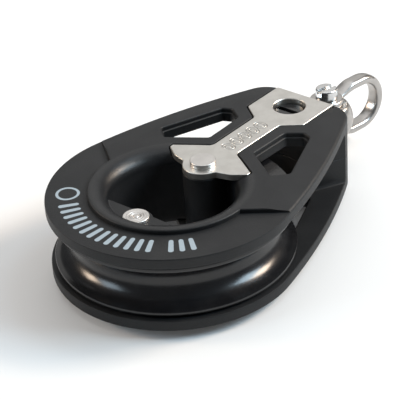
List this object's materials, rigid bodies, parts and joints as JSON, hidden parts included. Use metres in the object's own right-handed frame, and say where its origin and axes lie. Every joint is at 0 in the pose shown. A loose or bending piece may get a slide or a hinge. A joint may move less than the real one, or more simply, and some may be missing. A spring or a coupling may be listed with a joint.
{
  "type": "single sheave block",
  "caption": "Single sheave block with a ball-bearing grooved sheave between two moulded cheeks, side straps, an open hub and a swivelling shackle head.",
  "frame": {"origin": "centre of the sheave, on its axis and half way between the cheeks", "axes": "+Z along the sheave's axis, +X from the sheave to the head and shackle"},
  "size_m": [0.0968, 0.0518, 0.0206],
  "materials": {
    "cheek_nylon": "matte moulded, fine grain",
    "sheave_acetal": "satin turned",
    "strap_steel": "fine satin",
    "rivet_steel": "turned, polished edge",
    "cast_steel": "polished casting",
    "race_steel": "ground",
    "lock_acetal": "satin moulded"
  },
  "bodies": {
    "block": {"upper_cheek": "cheek_nylon", "lower_cheek": "cheek_nylon", "upper_strap": "strap_steel", "lower_strap": "strap_steel", "strap_rivet": "rivet_steel", "tail_rivet": "rivet_steel", "strap_spacer": "race_steel", "tail_spacer": "race_steel", "hub_sleeve": "race_steel", "head_dowels": "race_steel", "swivel_housing": "race_steel", "thrust_washer": "lock_acetal", "lock_washer": "race_steel"},
    "wheel": {"sheave": "sheave_acetal", "sheave_race": "race_steel", "upper_ball_retainer": "lock_acetal", "lower_ball_retainer": "lock_acetal"},
    "ball_rows": {"upper_balls": "race_steel", "lower_balls": "race_steel"},
    "swivel": {"swivel_post": "cast_steel"},
    "shackle": {"shackle_bow": "cast_steel"},
    "pin": {"shackle_pin": "cast_steel"},
    "lock": {"lock_selector": "lock_acetal"}
  },
  "joints": [
    {"name": "sheave_spin", "type": "hinge", "parent": "block", "child": "wheel", "pos_m": [0, 0, 0], "axis": [0, 0, 1], "continuous": true},
    {"name": "ball_spin", "type": "hinge", "parent": "block", "child": "ball_rows", "pos_m": [0, 0, 0], "axis": [0, 0, 1], "continuous": true},
    {"name": "head_swivel", "type": "hinge", "parent": "block", "child": "swivel", "pos_m": [0.042, 0, 0], "axis": [1, 0, 0], "continuous": true},
    {"name": "shackle_swing", "type": "hinge", "parent": "swivel", "child": "shackle", "pos_m": [0.0535, 0, 0], "axis": [0, 0, 1], "range_deg": [-90, 107]},
    {"name": "pin_draw", "type": "slide", "parent": "shackle", "child": "pin", "axis": [0, 0, 1], "range_m": [0, 0.0135]},
    {"name": "lock_turn", "type": "hinge", "parent": "block", "child": "lock", "pos_m": [0.03965, 0, 0], "axis": [0, 0, 1], "range_deg": [0, 90]}
  ],
  "couplings": [
    {"joint": "ball_spin", "follows": "sheave_spin", "ratio": 0.54101}
  ]
}
